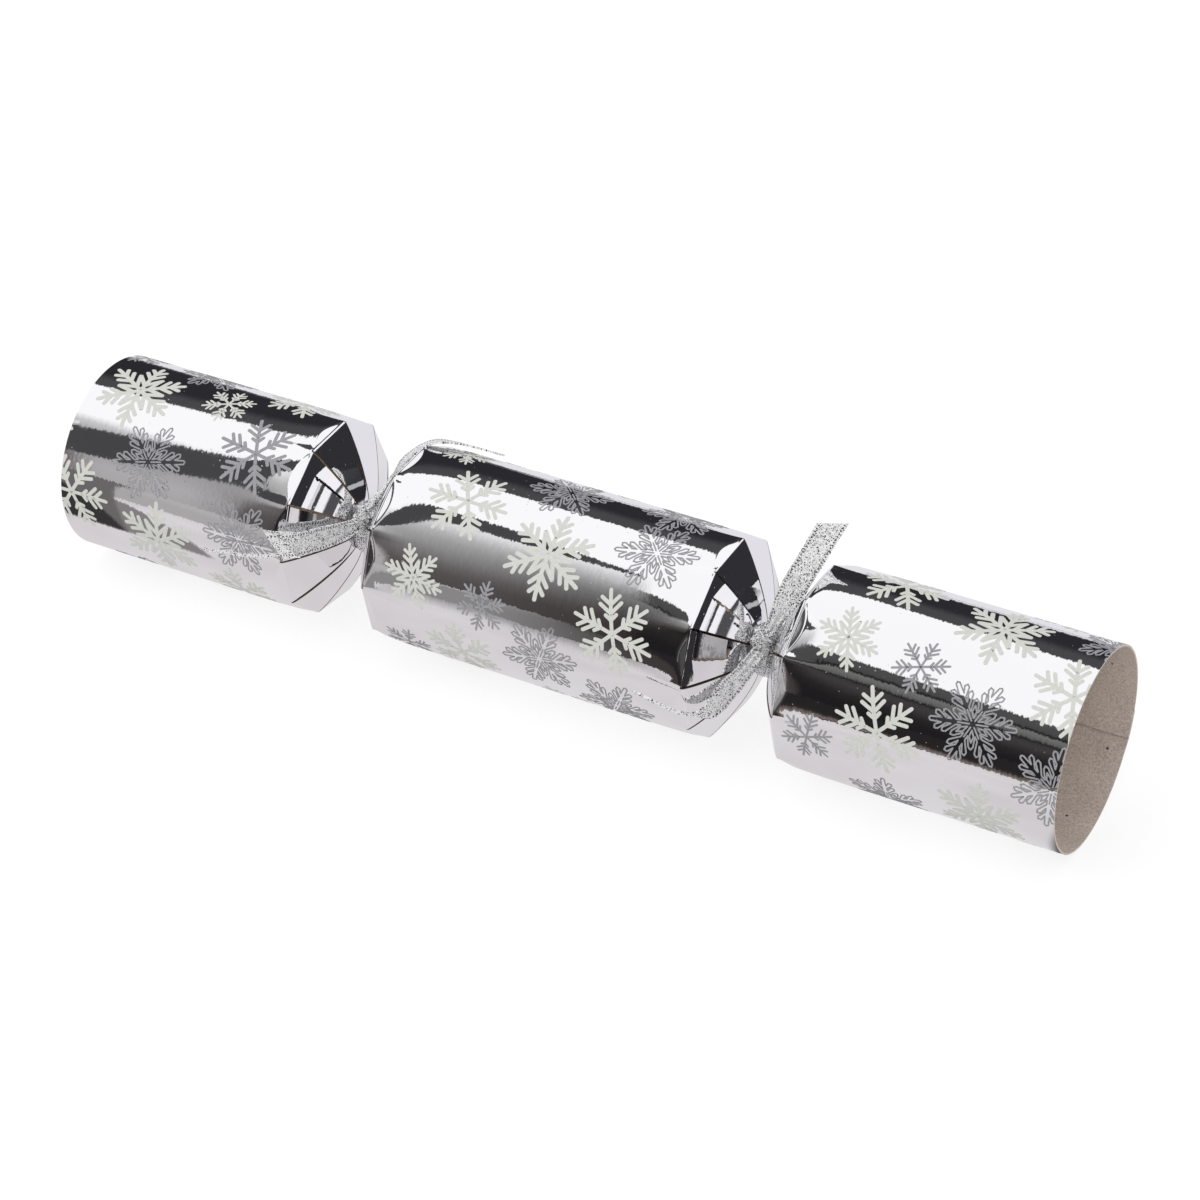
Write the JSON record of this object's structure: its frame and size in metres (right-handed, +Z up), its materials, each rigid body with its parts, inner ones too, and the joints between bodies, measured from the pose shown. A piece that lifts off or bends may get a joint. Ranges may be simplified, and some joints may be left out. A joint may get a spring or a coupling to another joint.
{
  "type": "christmas cracker",
  "caption": "Party cracker of silver mirror board, tied at two throats with glitter ribbon, with a pull-apart snap, a paper crown, a motto and a small gift inside.",
  "frame": {"origin": "middle of the cracker's length, on the plane that it lies on", "axes": "+X along the cracker's axis to the right end, -Y to the front that the picture shows, +Z up"},
  "size_m": [0.254, 0.0531, 0.0551],
  "materials": {
    "mirror_board": "silver mirror foil on greyboard",
    "lurex_ribbon": "silver glitter weave",
    "snap_card": "matt",
    "snap_powder": "matt coating",
    "snap_grit": "rough coating",
    "white_paper": "matt",
    "glue": "satin",
    "tissue": "matt tissue",
    "elastic": "matt",
    "gift_plastic": "gloss"
  },
  "bodies": {
    "barrel": {"barrel_card": "mirror_board", "left_ribbon_loop": "lurex_ribbon", "left_ribbon_knot": "lurex_ribbon", "left_front_tail": "lurex_ribbon", "left_back_tail": "lurex_ribbon", "right_ribbon_loop": "lurex_ribbon", "right_ribbon_knot": "lurex_ribbon", "right_front_tail": "lurex_ribbon", "right_upper_tail": "lurex_ribbon", "crown_roll": "tissue", "crown_elastic": "elastic", "motto_slip": "white_paper", "spinning_top": "gift_plastic"},
    "left_end": {"left_end_card": "mirror_board", "left_snap_strip": "snap_card", "snap_powder_patch": "snap_powder", "snap_paper_band": "white_paper", "left_glue_spot": "glue"},
    "right_end": {"right_end_card": "mirror_board", "right_snap_strip": "snap_card", "snap_grit_patch": "snap_grit", "right_glue_spot": "glue"}
  },
  "joints": [
    {"name": "left_pull", "type": "slide", "parent": "barrel", "child": "left_end", "axis": [-1, 0, 0], "range_m": [0, 0.1]},
    {"name": "right_pull", "type": "slide", "parent": "barrel", "child": "right_end", "axis": [1, 0, 0], "range_m": [0, 0.1]}
  ]
}
